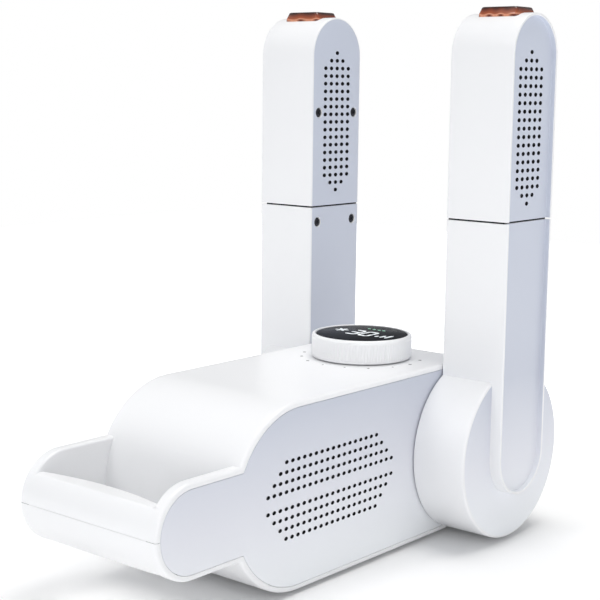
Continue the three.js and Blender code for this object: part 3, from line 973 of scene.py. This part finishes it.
def add_screw_recesses(skin, height):
    """Round recesses in the inner face; returns their edges, which the face is filled up to."""
    edges = []
    for y, z in screw_places(height):
        edge = at_x(ARM_X0, circle(y, z, SCREW_SEAT_R + 0.15, 24))
        rim = at_x(ARM_X0 + 0.2, circle(y, z, SCREW_SEAT_R, 24))
        floor = at_x(ARM_X0 + 1.6, circle(y, z, SCREW_SEAT_R, 24))
        skin.strip([edge, rim, floor], closed=True)
        skin.fill(floor)
        edges.append(edge)
    return edges


def fill_end(skin, rings, *holes):
    """The flat face at the joint, between the ends of the rings."""
    skin.fill([ring[0] for ring in rings] + [ring[-1] for ring in reversed(rings)], *holes)


def oblong(x0, x1, half_y, z):
    """A rectangle about the arm's middle plane, at a height above the mid plane."""
    front, back = PIVOT - half_y, PIVOT + half_y
    return at_z(z, [(x0, front), (x1, front), (x1, back), (x0, back)])


def tongue(skin, x0, x1, *holes):
    """A low step down from a head's end face, near black with painted shade in the joint's gap; returns the
    outline that it stands on.
    """
    root = oblong(x0, x1, ARM_R - TONGUE, JOINT_HIGH)
    tip = oblong(x0, x1, ARM_R - TONGUE, JOINT_HIGH - TONGUE)
    skin.strip([root, tip], closed=True, look=1)
    skin.fill(tip, *holes, look=1)
    return root


def base_skin():
    skin = Skin()
    rings = [at_x(ARM_X0 + across, base_outline(inset, inset)) for across, inset in fillet(ARM_ROUND, 3)]
    for across, inset in reversed(fillet(DRUM_ROUND, 7)):
        rings.append(at_x(DRUM_X1 - across, base_outline(inset, 0)))
    skin.strip(rings)
    mouth_wall = 2.4
    x0, x1 = ARM_X0 + mouth_wall, DRUM_X1 - mouth_wall
    fill_end(skin, rings, oblong(x0, x1, ARM_R - mouth_wall, JOINT_LOW))
    bore = at_x(ARM_X0, circle(PIVOT, 0, DRUM_BORE, 60))
    # The inner face is white plastic given the grey look: painted shade.
    skin.fill(rings[0], bore, *add_screw_recesses(skin, BASE_SCREW_Z), look=2)
    # The drum's outer face, white plastic too, takes the same grey: painted shade.
    skin.fill(rings[-1], look=2)
    return skin


def head_skin():
    skin = Skin()
    rings = [at_x(ARM_X0 + across, head_outline(inset)) for across, inset in fillet(ARM_ROUND, 3)]
    rings.append(at_x(DRUM_X1, head_outline(0)))
    skin.strip(rings)
    play = 0.3
    x0, x1 = SLEEVE_X
    slot = oblong(x0 - play, x1 + play, SLEEVE_Y + play, JOINT_HIGH - TONGUE)
    fill_end(skin, rings, tongue(skin, ARM_X0 + TONGUE, DRUM_X1 - 0.1, slot))
    holes = [at_x(ARM_X0, air_hole(y, z, HEAD_HOLE)) for y, z in grille_spots()]
    # The inner face is white plastic given the grey look: painted shade.
    skin.fill(rings[0], *holes, *add_screw_recesses(skin, HEAD_SCREW_Z), look=2)
    return skin


def cover_skin(outline, holes, stepped):
    """A cover: an outer wall, a narrow rim and a sunk field; a stepped one has a tongue on its end."""
    skin = Skin()
    floor = ARM_X1 - RECESS
    rings = [at_x(DRUM_X1, outline(0))]
    rings += [at_x(ARM_X1 - across, outline(inset)) for across, inset in reversed(fillet(COVER_ROUND, 3))]
    for down, out in ((0, 0.25), (0.08, 0.08), (0.25, 0)):
        rings.append(at_x(ARM_X1 - down, outline(FIELD_RIM - out)))
    skin.strip(rings)
    well = [rings[-1], at_x(floor + 0.3, outline(FIELD_RIM + 0.15)), at_x(floor, outline(FIELD_RIM + 0.45))]
    skin.strip(well, look=2)
    skin.fill(well[-1], *[at_x(floor, air_hole(y, z, HEAD_HOLE)) for y, z in holes], look=2)
    steps = [tongue(skin, DRUM_X1 + 0.1, floor - TONGUE)] if stepped else []
    fill_end(skin, rings + well[1:], *steps)
    return skin


def lens_skin():
    """The lamp lens: a low block with rounded corners and sloping sides."""
    corner = 1.6

    def section(inset, below):
        x0, x1 = LENS_X0 + inset + corner, LENS_X1 - inset - corner
        y0, y1 = PIVOT - LENS_HALF_Y + inset + corner, PIVOT + LENS_HALF_Y - inset - corner
        outline = []
        for x, y, start in ((x1, y1, 0), (x0, y1, 90), (x0, y0, 180), (x1, y0, 270)):
            outline += arc(x, y, corner, start, start + 90, 4)
        return at_z(ARCH + LENS_TOP - below, outline)

    edges = [(0.4, 6.6), (0.0, 6.1), (0.0, 4.1), (0.1, 3.7), (1.2, 0.6), (1.5, 0.2), (2.1, 0.0)]
    rings = [section(inset, below) for inset, below in edges]
    skin = Skin()
    skin.strip(rings, closed=True)
    skin.fill(rings[0])
    skin.fill(rings[-1])
    return skin


def screw_skin(y, z):
    """A pan head with a cross recess, seen on the arm's inner face, and its shank."""
    crown = ARM_X0 + 0.35
    shank_end = 64.0
    shank_r = 1.2
    cross = []
    reach, half = 1.5, 0.32
    for k in range(4):
        turn = pi / 4 + pi / 2 * k
        for u, v in ((half, half), (reach, half), (reach, -half)):
            cross.append((y + u * cos(turn) + v * sin(turn), z + u * sin(turn) - v * cos(turn)))
    cross = list(reversed(sorted(cross, key=lambda p: atan2(p[1] - z, p[0] - y))))
    skin = Skin()
    head = [(crown, 2.0), (crown + 0.15, 2.45), (crown + 0.45, 2.7), (crown + 1.0, 2.75)]
    shank = [(crown + 1.05, shank_r), (shank_end, shank_r)]
    rings = [at_x(x, circle(y, z, radius, 24)) for x, radius in head + shank]
    skin.strip(rings, closed=True)
    skin.fill(rings[-1])
    skin.fill(rings[0], at_x(crown, cross))
    skin.strip([at_x(crown, cross), at_x(crown + 0.7, cross)], closed=True)
    skin.fill(at_x(crown + 0.7, cross))
    return skin


def make_arm(prefix, left):
    def place(skin, name, wall, looks, part, slot, node, angle=32):
        shape = skin.mirrored() if left else skin
        mesh = thickened(shape, name, wall) if wall else mesh_from(shape, name)
        piece(f"{prefix}_{name}", [mesh], looks, f"{prefix}_{part}", slot, [f"{prefix}_{node}"], angle)

    looks = ["white", "inside", "panel", "inside"]
    place(base_skin(), "base_skin", BASE_WALL, looks, "arm", "white_plastic", "arm_base")
    place(head_skin(), "head_skin", HEAD_WALL, looks, "head", "white_plastic", "arm_head")
    base_cover = cover_skin(hanging_outline, [], False)
    place(base_cover, "base_cover_skin", COVER_WALL, looks, "arm", "pale_grey_plastic", "arm_base_cover")
    head_cover = cover_skin(head_outline, grille_spots(), True)
    place(head_cover, "head_cover_skin", COVER_WALL, looks, "head", "pale_grey_plastic", "arm_head_cover")
    place(lens_skin(), "lens", 0, ["amber"], "head", "amber", "lamp_lens")
    for part, half, height in (("arm", "base", BASE_SCREW_Z), ("head", "head", HEAD_SCREW_Z)):
        for i, (y, z) in enumerate(screw_places(height), 1):
            node = f"arm_{half}_screw_{i}"
            place(screw_skin(y, z), f"{part}_screw_{i}", 0, ["black_screw"], part, "steel", node)


# ---- The object

LOOKS = {
    "white": plastic("white_gloss", (0.85, 0.853, 0.865), 0.3, 0.008, 1800, depth=0.000006),
    # Near black backs of the walls and the joints' steps: painted shade seen through the holes and in the
    # gaps.
    "inside": plastic("inner_wall_painted_shade", (0.025, 0.025, 0.028), 0.8, 0.15, 1200, gloss=0.1),
    "panel": panel_plastic("panel_grey"),
    "inner": plastic("inner_grey", (0.3, 0.31, 0.33), 0.6, 0.06, 900),
    "dark": plastic("dark_moulding", (0.03, 0.031, 0.035), 0.5, 0.15, 1200),
    "rubber": plastic("foot_rubber", (0.03, 0.03, 0.032), 0.85, 0.2, 1500, gloss=0.3),
    "print_grey": plastic("print_grey", (0.16, 0.16, 0.17), 0.6, 0.15, 2500),
    "steel": metal("screw_steel", (0.5, 0.5, 0.52), 0.35),
    "black_screw": metal("black_screw", (0.055, 0.056, 0.065), 0.5),
    "motor": metal("motor_can", (0.4, 0.4, 0.42), 0.4, (0.1, 1, 1)),
    "amber": amber_lens("amber_lens"),
    "window": black_window("display_window"),
    "lit_white": lit_marks("lit_white", (0.8, 0.84, 0.86), 0.35),
    "lit_green": lit_marks("lit_green", (0.4, 0.75, 0.55), 0.3),
    "board": circuit_board("circuit_board"),
}
NODE_LOOKS = {
    "white_plastic": "white",
    "pale_grey_plastic": "panel",
    "dark_plastic": "dark",
    "black_glossy": "window",
    "rubber": "rubber",
    "amber": "amber",
    "steel": "steel",
    "board": "board",
    "inner_plastic": "inner",
    "motor_steel": "motor",
}

for part in frame["record"]["subparts"]:
    for material_slot in frame["nodes"][part["node"]].material_slots:
        material_slot.material = LOOKS[NODE_LOOKS[part["material_slot"]]]

make_camera()
make_studio()
make_floor()
make_housing()
make_feet()
make_knob()
make_display_window()
make_display_marks()
make_dial_ticks()
make_arm("right", False)
make_arm("left", True)
